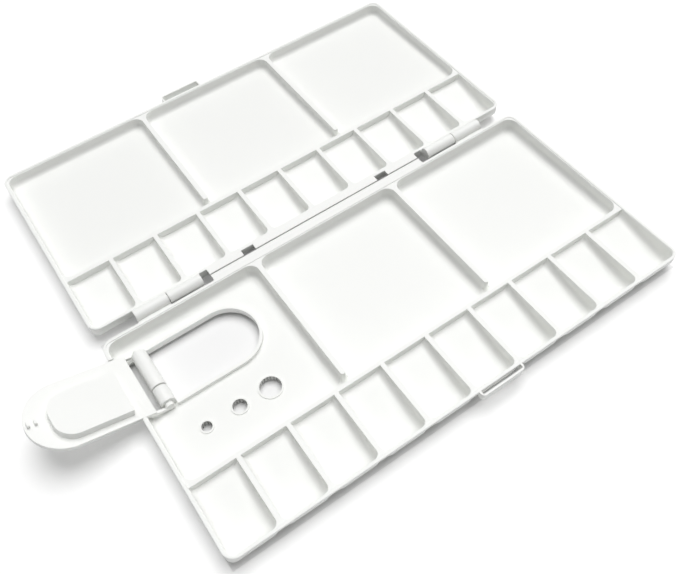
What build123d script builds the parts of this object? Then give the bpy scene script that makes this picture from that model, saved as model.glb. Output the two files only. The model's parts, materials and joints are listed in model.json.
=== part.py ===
from build123d import *
import math
import os

os.makedirs("parts", exist_ok=True)

# Folding watercolour palette, opened flat. Millimetres, +Z up.
# The origin is the middle of the base tray's underside. The hinge line runs along X,
# the base tray lies on the -Y side of it and the lid tray on the +Y side.

# Trays
base_width = 240.4
base_depth = 116.4
lid_side_overhang = 0.3
lid_setback = 0.4
tray_height = 10.5
floor_thickness = 1.3
rim_thickness = 1.6
well_side_wall = 1.6
rim_band = 1.3
pan_side_wall = 2.0
corner_radius = 5.5
rim_inner_radius = 3.0
wall_draft = 1.5
rim_round = 0.3
foot_round = 1.0
foot_width = 2.6
foot_corner_radius = 4.0
foot_pad_radius = 7.0

# Paint wells, one row in each tray
well_count = 10
well_pitch = 23.9
well_divider = 2.2
base_well_length = 33.2
lid_well_length = 31.8
well_shallow_depth = 4.2
well_front_radius = 5.5
well_side_radius = 3.0
cup_side_radius = 4.6
mix_wall_thickness = 2.0
divider_drop = 0.4

# Mixing pans, three in each tray, with a recess under their floors
pan_count = 3
base_pan_depth = 7.2
lid_pan_depth = 5.8
pan_corner_radius = 5.0
pan_floor_radius = 2.5
pan_divider = 2.4
pan_divider_gap = 3.7
channel_length = 14.0
channel_floor_radius = 1.5

# Main hinge
hinge_gap = 7.6
hinge_lift = 0.1
root_overlap = 0.8
knuckle_radius = 3.05
knuckle_inset = 19.8
outer_knuckle_length = 17.0
inner_knuckle_length = 17.5
knuckle_gap = 0.4
hinge_stub_radius = 1.5
hinge_stub_length = 3.2
bore_clearance = 0.06
bore_end_gap = 0.4
stub_chamfer = 0.4
stub_root = 1.0
strip_end_gap = 4.1
strip_thickness = 1.6
strip_gap = 0.75
strip_end_radius = 6.0
strip_end_hollow = 0.7
strip_notch_x = 39.2
strip_notch_width = 6.6
strip_notch_depth = 3.1

# Thumb hole and its cover
thumb_inset = 26.94
thumb_half_width = 15.03
thumb_length = 48.25
lip_thickness = 1.45
lip_root = 0.5
pivot_inset = 12.41
pivot_to_hole = 3.58
pivot_z = 6.02
barrel_radius = 3.6
barrel_half_length = 14.7
barrel_slit_from_middle = 6.05
barrel_slit_width = 0.8
barrel_slit_length = 10.8
slit_floor_z = 3.6
web_back = 1.82
slot_length = 4.6
cover_tilt = 16.8
cover_half_width = 16.63
cover_length = 55.85
cover_near_end = 6.4
cover_thickness = 2.0
cover_face_offset = 0.5
cover_rest_gap = 0.12
ear_thickness = 1.3
ear_depth = 2.3
ear_top = -0.6
ear_nose = 2.3
ear_reach = 9.4
ear_corner = 1.65
cover_stub_radius = 2.0
cover_stub_reach = 3.5
plug_height = 3.4
plug_root = 0.5
plug_near = 14.75
plug_far = 46.2
plug_front = 13.64
plug_back = 8.94
plug_corner_radius = 9.0
plug_draft = 3.0
catch_thickness = 1.15
catch_lip_gap = 0.22
catch_v = -0.75
catch_width = 2.4
catch_height = 1.9
notch_side_gap = 0.4

# Brush holes in the left pan: distance from the left wall's outer face, and bore radius
brush_row_inset = 59.4
brush_holes = [(52.6, 5.0), (37.1, 3.3), (20.9, 2.4)]
collar_wall = 0.8
collar_height = 0.5
sleeve_foot_z = 0.5

# Finger tabs
base_tab_x = 12.3
lid_tab_x = -13.0
tab_width = 23.4
base_tab_reach = 2.75
lid_tab_reach = 4.5
tab_wall = 1.0
tab_height = 4.2
tab_corner = 2.0

# How far drawn blocks and cuts run past what they are trimmed by, and edges are told apart by
overrun = 1.0
cup_overrun = 0.5
edge_margin = 0.1

# Derived places
base_front_y = -base_depth / 2
base_back_y = base_depth / 2
axis_y = base_back_y + hinge_gap / 2
axis_z = tray_height + hinge_lift
lid_front_y = axis_y + hinge_gap / 2
lid_depth = base_depth - lid_setback
lid_back_y = lid_front_y + lid_depth
lid_width = base_width + 2 * lid_side_overhang
base_floor_z = tray_height - base_pan_depth
base_underside_z = base_floor_z - floor_thickness
knuckle_outer_x = base_width / 2 - knuckle_inset
knuckle_split_x = knuckle_outer_x - outer_knuckle_length
knuckle_inner_x = knuckle_split_x - inner_knuckle_length
strip_end_x = knuckle_inner_x - strip_end_gap
base_left_x = -base_width / 2
pivot_x = base_left_x + pivot_inset
thumb_y = base_back_y - thumb_inset
thumb_left_x = pivot_x + pivot_to_hole
thumb_right_x = thumb_left_x + thumb_length
web_left_x = pivot_x - web_back
lip_top_z = pivot_z - cover_face_offset - cover_rest_gap
brush_row_y = base_back_y - brush_row_inset
above = tray_height + 2 * overrun


def well_block(length, width, grow, side_radius):
    """One trough with a sloping floor, centred on X: the cavity, or the cup around it."""
    shallow_z = tray_height - well_shallow_depth - grow
    deep_z = floor_thickness - grow
    with BuildPart() as block:
        with BuildSketch(Plane.YZ) as section:
            with BuildLine():
                Polyline(
                    (-grow, above),
                    (-grow, deep_z),
                    (length + grow, shallow_z),
                    (length + grow, above),
                    close=True,
                )
            make_face()
            front_corner = section.vertices().group_by(Axis.Y)[0]
            fillet(front_corner, well_front_radius + grow)
        extrude(amount=width / 2, both=True)
        outline = block.faces().filter_by(Axis.X).edges()
        lower = [e for e in outline if e.center().Z < above - edge_margin]
        trough = [e for e in lower if e.center().Y < length + grow - edge_margin]
        fillet(trough, side_radius)
    return block.part


def well_row(block, front_y, spread):
    """A row of wells side by side. Spread moves the two end wells outward."""
    first_x = -(well_count - 1) * well_pitch / 2
    row = []
    for i in range(well_count):
        shift = spread * (i == well_count - 1) - spread * (i == 0)
        row.append(Pos(first_x + i * well_pitch + shift, front_y, 0) * block)
    return row


def pan_blocks(width, front_y, back_y, pan_depth):
    """The pan cavities, and the short channels that join them past the divider ends."""
    bay_width = (width - (pan_count - 1) * pan_divider) / pan_count
    bay_pitch = bay_width + pan_divider
    end_radius = pan_divider / 2
    with BuildPart() as bay:
        with BuildSketch(Plane.XY.offset(tray_height)):
            with Locations((0, (front_y + back_y) / 2)):
                RectangleRounded(bay_width, back_y - front_y, pan_corner_radius)
        extrude(amount=-pan_depth, taper=wall_draft)
        fillet(bay.faces().sort_by(Axis.Z)[0].edges(), pan_floor_radius)
    with BuildPart() as channel:
        with BuildSketch(Plane.XY.offset(tray_height)):
            channel_reach = pan_divider_gap + end_radius
            with Locations((0, front_y + channel_reach / 2)):
                Rectangle(channel_length, channel_reach)
            with Locations((0, front_y + channel_reach)):
                Circle(end_radius, mode=Mode.SUBTRACT)
        extrude(amount=-pan_depth)
        fillet(channel.faces().sort_by(Axis.Z)[0].edges(), channel_floor_radius)
    bays = [Pos((i - 1) * bay_pitch, 0, 0) * bay.part for i in range(pan_count)]
    channels = [Pos((i - 0.5) * bay_pitch, 0, 0) * channel.part for i in range(pan_count - 1)]
    return bays + channels


def moulded_tray(width, depth, front_y, well_length, pan_depth):
    """A thin-walled tray: sloping wells along the front and flat pans behind."""
    back_y = front_y + depth
    mid_y = (front_y + back_y) / 2
    well_front_y = front_y + well_side_wall
    mix_front_y = well_front_y + well_length
    pan_front_y = mix_front_y + mix_wall_thickness
    pan_back_y = back_y - pan_side_wall
    side_spread = (width - well_count * well_pitch) / 2
    pans_width = width - 2 * pan_side_wall
    recess_back_y = back_y - foot_width

    with BuildPart() as envelope:
        with BuildSketch(Plane.XY.offset(tray_height)):
            with Locations((0, mid_y)):
                RectangleRounded(width, depth, corner_radius)
        extrude(amount=-tray_height, taper=wall_draft)
        foot = envelope.faces().sort_by(Axis.Z)[0]
        fillet(foot.edges(), foot_round)

    cup = well_block(well_length, well_pitch, floor_thickness, cup_side_radius)
    cavity = well_block(well_length, well_pitch - well_divider, 0, well_side_radius)

    with BuildPart() as tray:
        with BuildSketch():
            with Locations((0, (mix_front_y + back_y) / 2)):
                Rectangle(width + 2 * overrun, back_y - mix_front_y)
        extrude(amount=tray_height)
        add(well_row(cup, well_front_y, side_spread + cup_overrun))
        add(well_row(cup, well_front_y, 0))
        with BuildSketch(Plane.XY.offset(tray_height)):
            with Locations((0, mid_y)):
                Rectangle(width + 2 * overrun, depth + 2 * overrun)
        extrude(amount=-rim_band)
        add(envelope.part, mode=Mode.INTERSECT)
        add(well_row(cavity, well_front_y, 0), mode=Mode.SUBTRACT)
        add(pan_blocks(pans_width, pan_front_y, pan_back_y, pan_depth), mode=Mode.SUBTRACT)
        # Recess under the pans, with a round foot left in the middle of the tray
        with BuildSketch():
            with Locations((0, (pan_front_y + recess_back_y) / 2)):
                recess_depth = recess_back_y - pan_front_y
                RectangleRounded(width - 2 * foot_width, recess_depth, foot_corner_radius)
            with Locations((0, mid_y)):
                Circle(foot_pad_radius, mode=Mode.SUBTRACT)
        extrude(amount=tray_height - pan_depth - floor_thickness, mode=Mode.SUBTRACT)
        with BuildSketch(Plane.XY.offset(tray_height)):
            with Locations((0, mid_y)):
                inner_width = width - 2 * rim_thickness
                inner_depth = depth - 2 * rim_thickness
                RectangleRounded(inner_width, inner_depth, rim_inner_radius)
        extrude(amount=-divider_drop, mode=Mode.SUBTRACT)
        rim = tray.faces().filter_by(Axis.Z).sort_by(Axis.Z)[-1]
        fillet(rim.edges(), rim_round)
    return tray.part


def hinge_knuckle(side, root_y, x_from, x_to):
    """A barrel on the hinge line with a leg to its tray. Side is -1 for base, +1 for lid."""
    leg_bottom = axis_z - knuckle_radius
    leg_top = tray_height - rim_round
    root = root_y + side * root_overlap
    with BuildPart() as knuckle:
        with BuildSketch(Plane.YZ.offset(x_from)):
            with Locations((axis_y, axis_z)):
                Circle(knuckle_radius)
            with BuildLine():
                Polyline(
                    (axis_y, leg_bottom),
                    (root, leg_bottom),
                    (root, leg_top),
                    (axis_y, leg_top),
                    close=True,
                )
            make_face()
        extrude(amount=x_to - x_from)
    return knuckle.part


def hinge_strip(side, root_y):
    """The flat flange between the knuckles, level with the rim, with hollowed ends."""
    root = root_y + side * root_overlap
    free = axis_y + side * strip_gap / 2
    with BuildPart() as strip:
        with BuildSketch(Plane.XY.offset(tray_height)):
            with Locations((0, (root + free) / 2)):
                Rectangle(2 * strip_end_x, abs(root - free))
            hollow_x = strip_end_x + strip_end_radius - strip_end_hollow
            with Locations((-hollow_x, (root_y + axis_y) / 2), (hollow_x, (root_y + axis_y) / 2)):
                Circle(strip_end_radius, mode=Mode.SUBTRACT)
        extrude(amount=-strip_thickness)
    return strip.part


def hinge_peg(x_face, reach, radius, along):
    """A cylinder on the hinge line that starts at x_face and runs toward -X or +X."""
    face = Plane(origin=(x_face, axis_y, axis_z), z_dir=(along, 0, 0))
    with BuildPart() as peg:
        with BuildSketch(face):
            Circle(radius)
        extrude(amount=reach)
    return peg.part


def finger_tab(centre_x, wall_y, outward, tab_reach):
    """A thin U-shaped loop at rim height on the tray's outer wall."""
    depth = tab_reach + root_overlap
    middle = wall_y + outward * (tab_reach - root_overlap) / 2
    with BuildPart() as tab:
        with BuildSketch(Plane.XY.offset(tray_height)) as plan:
            with Locations((centre_x, middle)):
                Rectangle(tab_width, depth)
            outer = plan.vertices().sort_by(Axis.Y)
            outer = outer[-2:] if outward > 0 else outer[:2]
            fillet(outer, tab_corner)
            slot_reach = tab_reach - tab_wall + root_overlap
            with Locations((centre_x, wall_y + outward * (slot_reach / 2 - root_overlap))):
                Rectangle(tab_width - 2 * tab_wall, slot_reach, mode=Mode.SUBTRACT)
        extrude(amount=-tab_height)
    return tab.part


base_shell = moulded_tray(
    base_width, base_depth, base_front_y, base_well_length, base_pan_depth
)
lid_shell = moulded_tray(lid_width, lid_depth, lid_front_y, lid_well_length, lid_pan_depth)

stub_face_x = knuckle_split_x - knuckle_gap / 2
bore_face_x = knuckle_split_x + knuckle_gap / 2
bore_radius = hinge_stub_radius + bore_clearance
bore_depth = hinge_stub_length - knuckle_gap + bore_end_gap

with BuildPart() as base_tray:
    add(base_shell)
    # Hinge half
    add(hinge_strip(-1, base_back_y))
    add(hinge_knuckle(-1, base_back_y, -knuckle_outer_x, -bore_face_x))
    add(hinge_knuckle(-1, base_back_y, bore_face_x, knuckle_outer_x))
    add(hinge_peg(-bore_face_x, bore_depth, bore_radius, -1), mode=Mode.SUBTRACT)
    add(hinge_peg(bore_face_x, bore_depth, bore_radius, 1), mode=Mode.SUBTRACT)
    # Thumb hole with a raised lip round its straight sides and round end
    arc_x = thumb_right_x - thumb_half_width
    with BuildSketch(Plane.XY.offset(base_floor_z - lip_root)):
        with Locations((arc_x, thumb_y)):
            Circle(thumb_half_width + lip_thickness)
        with Locations(((thumb_left_x + arc_x) / 2, thumb_y)):
            Rectangle(arc_x - thumb_left_x, 2 * (thumb_half_width + lip_thickness))
    extrude(amount=lip_top_z - base_floor_z + lip_root)
    with BuildSketch(Plane.XY.offset(above)):
        with Locations((arc_x, thumb_y)):
            Circle(thumb_half_width)
        with Locations(((thumb_left_x + arc_x) / 2, thumb_y)):
            Rectangle(arc_x - thumb_left_x, 2 * thumb_half_width)
    extrude(amount=-2 * above, mode=Mode.SUBTRACT)
    # Slot through the floor beside the pivot barrel
    with BuildSketch():
        with Locations((web_left_x - slot_length / 2, thumb_y)):
            Rectangle(slot_length, 2 * barrel_half_length)
    extrude(amount=base_floor_z, mode=Mode.SUBTRACT)
    # Pivot barrel for the cover, on a web that closes the hole's left end
    barrel_front = Plane.XZ.offset(barrel_half_length - thumb_y)
    web_height = pivot_z - base_underside_z
    with BuildSketch(barrel_front):
        with Locations((pivot_x, pivot_z)):
            Circle(barrel_radius)
        with Locations(((web_left_x + thumb_left_x) / 2, pivot_z - web_height / 2)):
            Rectangle(thumb_left_x - web_left_x, web_height)
    extrude(amount=-2 * barrel_half_length)
    for end in (-1, 1):
        mouth = Plane(
            origin=(pivot_x, thumb_y + end * barrel_half_length, pivot_z), z_dir=(0, -end, 0)
        )
        with BuildSketch(mouth):
            Circle(cover_stub_radius + bore_clearance)
        extrude(amount=cover_stub_reach + bore_end_gap, mode=Mode.SUBTRACT)
    with Locations((pivot_x, thumb_y - barrel_slit_from_middle, slit_floor_z)):
        slit_align = (Align.CENTER, Align.CENTER, Align.MIN)
        Box(barrel_slit_length, barrel_slit_width, above, align=slit_align, mode=Mode.SUBTRACT)
    # Brush holes in sleeves that stand a little above the floor
    for hole_inset, hole_radius in brush_holes:
        hole_x = base_left_x + hole_inset
        with BuildSketch(Plane.XY.offset(sleeve_foot_z)):
            with Locations((hole_x, brush_row_y)):
                Circle(hole_radius + collar_wall)
        extrude(amount=base_floor_z + collar_height - sleeve_foot_z)
        with BuildSketch():
            with Locations((hole_x, brush_row_y)):
                Circle(hole_radius)
        extrude(amount=above, mode=Mode.SUBTRACT)
    # Notch in the left wall where the open cover rests, sloped to match it
    rise = math.tan(math.radians(cover_tilt))
    below_pivot = cover_thickness - cover_face_offset + cover_rest_gap
    seat_drop = below_pivot / math.cos(math.radians(cover_tilt))
    seat_inner_x = base_left_x + 2 * pan_side_wall
    seat_outer_x = base_left_x - pan_side_wall
    with BuildSketch(Plane.XZ.offset(-thumb_y)):
        with BuildLine():
            Polyline(
                (seat_inner_x, pivot_z - seat_drop + (pivot_x - seat_inner_x) * rise),
                (seat_outer_x, pivot_z - seat_drop + (pivot_x - seat_outer_x) * rise),
                (seat_outer_x, above),
                (seat_inner_x, above),
                close=True,
            )
        make_face()
    extrude(amount=cover_half_width + notch_side_gap, both=True, mode=Mode.SUBTRACT)
    # Finger tab on the front wall
    add(finger_tab(base_tab_x, base_front_y, -1, base_tab_reach))
base_tray.part.label = "base_tray"

with BuildPart() as lid_tray:
    add(lid_shell)
    add(hinge_strip(1, lid_front_y))
    strip_edge_y = axis_y + strip_gap / 2
    with BuildSketch(Plane.XY.offset(tray_height)):
        notch_y = strip_edge_y + strip_notch_depth / 2
        with Locations((-strip_notch_x, notch_y), (strip_notch_x, notch_y)):
            Rectangle(strip_notch_width, strip_notch_depth)
    extrude(amount=-strip_thickness, mode=Mode.SUBTRACT)
    add(hinge_knuckle(1, lid_front_y, -stub_face_x, -knuckle_inner_x))
    add(hinge_knuckle(1, lid_front_y, knuckle_inner_x, stub_face_x))
    for along in (-1, 1):
        with BuildPart(mode=Mode.PRIVATE) as stub:
            root_x = along * (stub_face_x - stub_root)
            add(hinge_peg(root_x, hinge_stub_length + stub_root, hinge_stub_radius, along))
            tip = stub.faces().filter_by(Axis.X).sort_by(Axis.X)[-1 if along > 0 else 0]
            chamfer(tip.edges(), stub_chamfer)
        add(stub.part)
    add(finger_tab(lid_tab_x, lid_back_y, 1, lid_tab_reach))
lid_tray.part.label = "lid_tray"

# The cover is drawn in its own plane: X away from the pivot, Z out of its upper face
tilt = math.radians(cover_tilt)
outward = Vector(-math.cos(tilt), 0, math.sin(tilt))
upward = Vector(math.sin(tilt), 0, math.cos(tilt))
pivot = Vector(pivot_x, thumb_y, pivot_z)
cover_face = Plane(origin=pivot, x_dir=outward, z_dir=upward).offset(cover_face_offset)
cover_side = Plane(origin=pivot, x_dir=outward, z_dir=(0, 1, 0))

with BuildPart() as thumb_cover:
    with BuildSketch(cover_face):
        tip_centre = cover_length - cover_half_width
        with Locations((tip_centre, 0)):
            Circle(cover_half_width)
        with Locations(((cover_near_end + tip_centre) / 2, 0)):
            Rectangle(tip_centre - cover_near_end, 2 * cover_half_width)
    extrude(amount=-cover_thickness)
    # Raised plug panel that drops into the thumb hole
    with BuildSketch(cover_face.offset(-plug_root)) as plug_plan:
        plug_mid = ((plug_near + plug_far) / 2, (plug_front - plug_back) / 2)
        with Locations(plug_mid):
            Rectangle(plug_far - plug_near, plug_front + plug_back)
        far_corners = plug_plan.vertices().sort_by(Axis.X)[-2:]
        fillet(far_corners, plug_corner_radius)
    extrude(amount=plug_height + plug_root, taper=plug_draft)
    # Ears and their pivot stubs
    for side in (-1, 1):
        ear_inner = cover_side.offset(side * (cover_half_width - ear_thickness))
        with BuildSketch(ear_inner) as ear:
            with Locations(((ear_reach - ear_nose) / 2, (ear_top - ear_depth) / 2)):
                Rectangle(ear_reach + ear_nose, ear_depth + ear_top)
            low_corners = ear.vertices().group_by(Axis.Y)[0]
            fillet(low_corners, ear_corner)
        extrude(amount=side * ear_thickness)
        with BuildSketch(ear_inner.offset(side * ear_thickness)):
            Circle(cover_stub_radius)
        extrude(amount=-side * (cover_stub_reach + cover_half_width - barrel_half_length))
    # Catch that straddles the lip at the hole's round end
    lip_inside = thumb_right_x - pivot_x
    lip_outside = lip_inside + lip_thickness
    near_prong = lip_inside - catch_lip_gap - catch_thickness / 2
    far_prong = lip_outside + catch_lip_gap + catch_thickness / 2
    with BuildSketch(cover_face):
        with Locations((near_prong, catch_v), (far_prong, catch_v)):
            Rectangle(catch_thickness, catch_width)
    extrude(amount=catch_height)
thumb_cover.part.label = "thumb_cover"

export_step(base_tray.part, "parts/base_tray.step")
export_step(lid_tray.part, "parts/lid_tray.step")
export_step(thumb_cover.part, "parts/thumb_cover.step")
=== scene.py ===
import json
import math

import bpy
from mathutils import Matrix, Vector


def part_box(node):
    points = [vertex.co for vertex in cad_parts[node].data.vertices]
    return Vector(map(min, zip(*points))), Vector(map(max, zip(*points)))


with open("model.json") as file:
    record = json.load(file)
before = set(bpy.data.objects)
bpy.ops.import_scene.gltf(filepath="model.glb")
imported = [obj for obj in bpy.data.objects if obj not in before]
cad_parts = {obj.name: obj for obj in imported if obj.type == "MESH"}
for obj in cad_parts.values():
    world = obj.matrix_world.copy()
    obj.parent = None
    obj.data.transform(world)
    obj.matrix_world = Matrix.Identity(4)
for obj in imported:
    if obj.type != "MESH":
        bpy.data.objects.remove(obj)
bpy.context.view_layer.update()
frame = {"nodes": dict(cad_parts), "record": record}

# Sizes of the photograph and the view it was taken from, in pixels and metres
image_width, image_height = 679, 574
focal_pixels = 771.39
sensor_width = 36.0
camera_place = Vector((-0.11505, -0.1528, 0.3030))
camera_right = Vector((0.82382, -0.56414, -0.05529))
camera_up = Vector((0.49341, 0.66567, 0.55985))

# The paper floor: its size and depth in metres, and its lift to white that only the camera sees
floor_size = 2.4
floor_z = -0.0002
floor_roughness = 0.9
floor_lift = 0.17
paper_white = (0.93, 0.93, 0.93, 1.0)

# How far the base tray's finger tab stands out
base_tab_reach = 0.00275

# Upright ribs in the brush holes: sizes in metres, then how much painted shade darkens the bore
# walls and how much lighter and darker it is across the ribs
rib_spacing = 0.0014
rib_height = 0.0003
bore_skin = 0.00015
bore_top_gap = 0.00025
bore_painted_shade = 0.25
rib_painted_shade = 0.22

# Moulded plastic: linear colour, gloss, and how far light spreads under the skin in metres
plastic_white = (0.945, 0.955, 0.925, 1.0)
plastic_roughness = 0.35
plastic_ior = 1.46
plastic_specular = 0.3
light_spread_weight = 0.35
light_spread = 0.0012

# Unevenness of the plastic: patches of tint and gloss, and a fine grain
patch_scale = 14.0
patch_detail = 3.0
patch_tint = (0.985, 1.01)
patch_roughness = (-0.04, 0.06)
grain_scale = 900.0
grain_detail = 2.0
grain_strength = 0.05
grain_height = 0.0001

# Studio light: the white all round, and one wide soft lamp above
fill_strength = 0.24
lamp_place = (1.7, 1.2, 6.5)
lamp_aim = (0, 0.05, 0)
lamp_size = 6.5
lamp_power = 438.0


def add_camera():
    """The view that the photograph was taken from."""
    data = bpy.data.cameras.new("photo_view")
    data.sensor_fit = "HORIZONTAL"
    data.sensor_width = sensor_width
    data.lens = focal_pixels * sensor_width / image_width
    camera = bpy.data.objects.new("photo_view", data)
    bpy.context.scene.collection.objects.link(camera)
    back = camera_right.cross(camera_up).normalized()
    up = back.cross(camera_right).normalized()
    turn = Matrix((camera_right.normalized(), up, back)).transposed().to_4x4()
    camera.matrix_world = Matrix.Translation(camera_place) @ turn
    bpy.context.scene.camera = camera


def calculate(tree, operation, first, second=None):
    """One Math node. Each of its two values is a number or another node's socket."""
    node = tree.nodes.new("ShaderNodeMath")
    node.operation = operation
    for slot, value in ((0, first), (1, second)):
        if isinstance(value, bpy.types.NodeSocket):
            tree.links.new(value, node.inputs[slot])
        elif value is not None:
            node.inputs[slot].default_value = value
    return node.outputs["Value"]


def moulded_surface_group():
    """Very faint moulding unevenness shared by the palette's plastics."""
    group = bpy.data.node_groups.new("moulded_surface", "ShaderNodeTree")
    face = group.interface
    face.new_socket("Colour", in_out="INPUT", socket_type="NodeSocketColor")
    face.new_socket("Roughness", in_out="INPUT", socket_type="NodeSocketFloat")
    face.new_socket("Colour", in_out="OUTPUT", socket_type="NodeSocketColor")
    face.new_socket("Roughness", in_out="OUTPUT", socket_type="NodeSocketFloat")
    face.new_socket("Height", in_out="OUTPUT", socket_type="NodeSocketFloat")
    nodes, links = group.nodes, group.links
    given = nodes.new("NodeGroupInput")
    out = nodes.new("NodeGroupOutput")
    place = nodes.new("ShaderNodeTexCoord")

    cloud = nodes.new("ShaderNodeTexNoise")
    cloud.inputs["Scale"].default_value = patch_scale
    cloud.inputs["Detail"].default_value = patch_detail
    links.new(place.outputs["Object"], cloud.inputs["Vector"])
    tint_amount = nodes.new("ShaderNodeMapRange")
    tint_amount.inputs["To Min"].default_value = patch_tint[0]
    tint_amount.inputs["To Max"].default_value = patch_tint[1]
    links.new(cloud.outputs["Fac"], tint_amount.inputs["Value"])
    tint = nodes.new("ShaderNodeVectorMath")
    tint.operation = "SCALE"
    links.new(given.outputs["Colour"], tint.inputs[0])
    links.new(tint_amount.outputs["Result"], tint.inputs["Scale"])
    links.new(tint.outputs["Vector"], out.inputs["Colour"])

    grain = nodes.new("ShaderNodeTexNoise")
    grain.inputs["Scale"].default_value = grain_scale
    grain.inputs["Detail"].default_value = grain_detail
    links.new(place.outputs["Object"], grain.inputs["Vector"])
    links.new(grain.outputs["Fac"], out.inputs["Height"])

    rub = nodes.new("ShaderNodeMapRange")
    rub.inputs["To Min"].default_value = patch_roughness[0]
    rub.inputs["To Max"].default_value = patch_roughness[1]
    links.new(cloud.outputs["Fac"], rub.inputs["Value"])
    total = calculate(group, "ADD", given.outputs["Roughness"], rub.outputs["Result"])
    links.new(total, out.inputs["Roughness"])
    return group


def painted_bore_shade_group(bores):
    """Fine upright ribs inside the brush holes as a bump, and painted shade: the bore walls
    darkened, less on the rib crests and more between them.
    """
    group = bpy.data.node_groups.new("ribbed_bores_painted_shade", "ShaderNodeTree")
    face = group.interface
    face.new_socket("Colour", in_out="INPUT", socket_type="NodeSocketColor")
    face.new_socket("Colour", in_out="OUTPUT", socket_type="NodeSocketColor")
    face.new_socket("Height", in_out="OUTPUT", socket_type="NodeSocketFloat")
    given = group.nodes.new("NodeGroupInput")
    out = group.nodes.new("NodeGroupOutput")
    place = group.nodes.new("ShaderNodeTexCoord")
    parts = group.nodes.new("ShaderNodeSeparateXYZ")
    group.links.new(place.outputs["Object"], parts.inputs["Vector"])
    x, y, z = parts.outputs["X"], parts.outputs["Y"], parts.outputs["Z"]

    walls, ribs = 0.0, 0.0
    for centre, radius, top in bores:
        across = calculate(group, "SUBTRACT", x, centre[0])
        along = calculate(group, "SUBTRACT", y, centre[1])
        squares = calculate(
            group, "ADD",
            calculate(group, "MULTIPLY", across, across),
            calculate(group, "MULTIPLY", along, along),
        )
        near = calculate(group, "LESS_THAN", squares, (radius + bore_skin) ** 2)
        below = calculate(group, "LESS_THAN", z, top - bore_top_gap)
        wall = calculate(group, "MULTIPLY", near, below)
        turns = round(2 * math.pi * radius / rib_spacing)
        angle = calculate(group, "ARCTAN2", along, across)
        wave = calculate(group, "SINE", calculate(group, "MULTIPLY", angle, turns))
        walls = calculate(group, "ADD", walls, wall)
        ribs = calculate(group, "ADD", ribs, calculate(group, "MULTIPLY", wave, wall))

    # Painted shade: the bore walls are darkened, less on the rib crests and more between the
    # ribs.
    rib_shade = calculate(group, "MULTIPLY", ribs, rib_painted_shade)
    wall_shade = calculate(group, "MULTIPLY", walls, bore_painted_shade)
    shade = calculate(group, "SUBTRACT", wall_shade, rib_shade)
    kept = calculate(group, "SUBTRACT", 1.0, shade)
    tint = group.nodes.new("ShaderNodeVectorMath")
    tint.operation = "SCALE"
    group.links.new(given.outputs["Colour"], tint.inputs[0])
    group.links.new(kept, tint.inputs["Scale"])
    group.links.new(tint.outputs["Vector"], out.inputs["Colour"])
    group.links.new(ribs, out.inputs["Height"])
    return group


def moulded_plastic(name, surface):
    """White satin plastic with the shared unevenness in its tint, gloss and grain."""
    material = bpy.data.materials.new(name)
    material.use_nodes = True
    nodes, links = material.node_tree.nodes, material.node_tree.links
    shader = nodes["Principled BSDF"]
    skin = nodes.new("ShaderNodeGroup")
    skin.node_tree = surface
    skin.inputs["Colour"].default_value = plastic_white
    skin.inputs["Roughness"].default_value = plastic_roughness
    bump = nodes.new("ShaderNodeBump")
    bump.inputs["Strength"].default_value = grain_strength
    bump.inputs["Distance"].default_value = grain_height
    links.new(skin.outputs["Colour"], shader.inputs["Base Color"])
    links.new(skin.outputs["Roughness"], shader.inputs["Roughness"])
    links.new(skin.outputs["Height"], bump.inputs["Height"])
    links.new(bump.outputs["Normal"], shader.inputs["Normal"])
    shader.inputs["IOR"].default_value = plastic_ior
    shader.inputs["Specular IOR Level"].default_value = plastic_specular
    shader.inputs["Subsurface Weight"].default_value = light_spread_weight
    shader.inputs["Subsurface Radius"].default_value = (1.0, 1.0, 1.0)
    shader.inputs["Subsurface Scale"].default_value = light_spread
    return material


def add_ribs_and_painted_shade(material, ribs_and_painted_shade):
    """Puts the ribbed brush-hole bores, with their rib bump and their painted shade, between the
    plastic's skin and its shader.
    """
    tree = material.node_tree
    shader = tree.nodes["Principled BSDF"]
    colour = shader.inputs["Base Color"].links[0].from_socket
    normal = shader.inputs["Normal"].links[0].from_socket
    bores = tree.nodes.new("ShaderNodeGroup")
    bores.node_tree = ribs_and_painted_shade
    bump = tree.nodes.new("ShaderNodeBump")
    bump.inputs["Strength"].default_value = 1.0
    bump.inputs["Distance"].default_value = rib_height
    tree.links.new(colour, bores.inputs["Colour"])
    tree.links.new(bores.outputs["Colour"], shader.inputs["Base Color"])
    tree.links.new(bores.outputs["Height"], bump.inputs["Height"])
    tree.links.new(normal, bump.inputs["Normal"])
    tree.links.new(bump.outputs["Normal"], shader.inputs["Normal"])


def brush_bores():
    """Centre, radius and top of each brush hole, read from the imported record, in metres."""
    bores = []
    for mount in frame["record"]["mounts"]:
        if mount["kind"] == "bore":
            centre = mount["pos_m"]
            top = centre[2] + mount["dims"]["length_mm"] / 2000
            bores.append((centre, mount["dims"]["r_mm"] / 1000, top))
    return bores


def dress(node, material):
    """Gives every face of one CAD node the same material."""
    for slot in frame["nodes"][node].material_slots:
        slot.material = material


def within(tree, parts, low, high):
    """1 where the floor point lies inside the rectangle from low to high, else 0."""
    tests = []
    for axis, start, end in (("X", low[0], high[0]), ("Y", low[1], high[1])):
        tests.append(calculate(tree, "GREATER_THAN", parts.outputs[axis], start))
        tests.append(calculate(tree, "LESS_THAN", parts.outputs[axis], end))
    sides = calculate(tree, "MULTIPLY", tests[0], tests[1])
    ends = calculate(tree, "MULTIPLY", tests[2], tests[3])
    return calculate(tree, "MULTIPLY", sides, ends)


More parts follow.
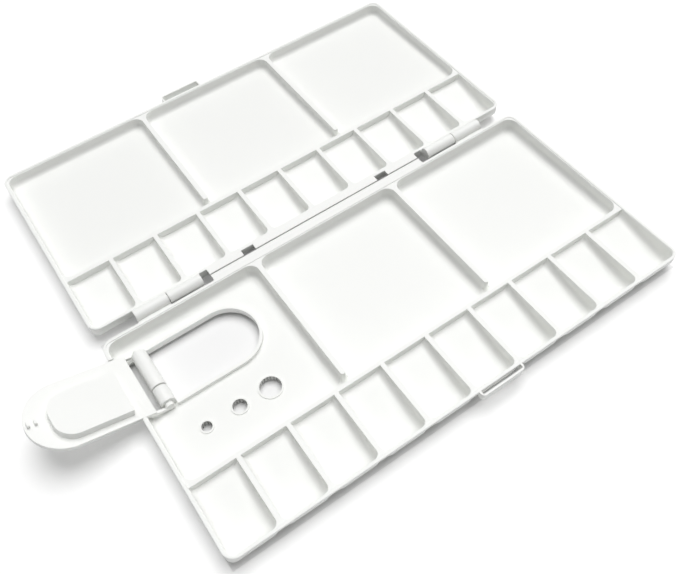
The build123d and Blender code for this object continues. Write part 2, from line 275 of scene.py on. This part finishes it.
def add_floor():
    """White paper, lifted to pure white for the camera everywhere but under the base tray."""
    bpy.ops.mesh.primitive_plane_add(size=floor_size, location=(0, 0, floor_z))
    floor = bpy.context.object
    floor.name = "paper_floor"
    material = bpy.data.materials.new("white_sweep")
    material.use_nodes = True
    tree = material.node_tree
    shader = tree.nodes["Principled BSDF"]
    shader.inputs["Roughness"].default_value = floor_roughness
    shader.inputs["Specular IOR Level"].default_value = 0.0
    shader.inputs["Emission Color"].default_value = paper_white
    path = tree.nodes.new("ShaderNodeLightPath")
    place = tree.nodes.new("ShaderNodeTexCoord")
    parts = tree.nodes.new("ShaderNodeSeparateXYZ")
    tree.links.new(place.outputs["Object"], parts.inputs["Vector"])

    low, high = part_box("base_tray")
    tray = within(tree, parts, (low.x, low.y + base_tab_reach), (high.x, high.y))
    seen = calculate(tree, "MULTIPLY", path.outputs["Is Camera Ray"], floor_lift)
    lift = calculate(tree, "MULTIPLY", seen, calculate(tree, "SUBTRACT", 1.0, tray))
    tree.links.new(lift, shader.inputs["Emission Strength"])
    shader.inputs["Base Color"].default_value = paper_white
    floor.data.materials.append(material)


def add_world():
    """White all round: a soft fill for the palette, and plain white where the camera sees it."""
    world = bpy.data.worlds.new("studio")
    bpy.context.scene.world = world
    world.use_nodes = True
    nodes, links = world.node_tree.nodes, world.node_tree.links
    fill = nodes["Background"]
    fill.inputs["Color"].default_value = (1.0, 1.0, 1.0, 1.0)
    fill.inputs["Strength"].default_value = fill_strength
    seen = nodes.new("ShaderNodeBackground")
    seen.inputs["Color"].default_value = (1.0, 1.0, 1.0, 1.0)
    seen.inputs["Strength"].default_value = 1.0
    path = nodes.new("ShaderNodeLightPath")
    mix = nodes.new("ShaderNodeMixShader")
    links.new(path.outputs["Is Camera Ray"], mix.inputs["Fac"])
    links.new(fill.outputs["Background"], mix.inputs[1])
    links.new(seen.outputs["Background"], mix.inputs[2])
    links.new(mix.outputs["Shader"], nodes["World Output"].inputs["Surface"])


def add_lamp():
    data = bpy.data.lights.new("overhead_softbox", "AREA")
    data.shape = "DISK"
    data.size = lamp_size
    data.energy = lamp_power
    lamp = bpy.data.objects.new("overhead_softbox", data)
    bpy.context.scene.collection.objects.link(lamp)
    lamp.location = lamp_place
    lamp_line = Vector(lamp_aim) - Vector(lamp_place)
    lamp.rotation_euler = lamp_line.to_track_quat("-Z", "Y").to_euler()


add_camera()
surface = moulded_surface_group()
tray_plastic = moulded_plastic("tray_plastic", surface)
base_plastic = moulded_plastic("base_plastic", surface)
add_ribs_and_painted_shade(base_plastic, painted_bore_shade_group(brush_bores()))
cover_plastic = moulded_plastic("cover_plastic", surface)
dress("base_tray", base_plastic)
dress("lid_tray", tray_plastic)
dress("thumb_cover", cover_plastic)
add_floor()
add_world()
add_lamp()

bpy.context.scene.view_settings.view_transform = "Standard"
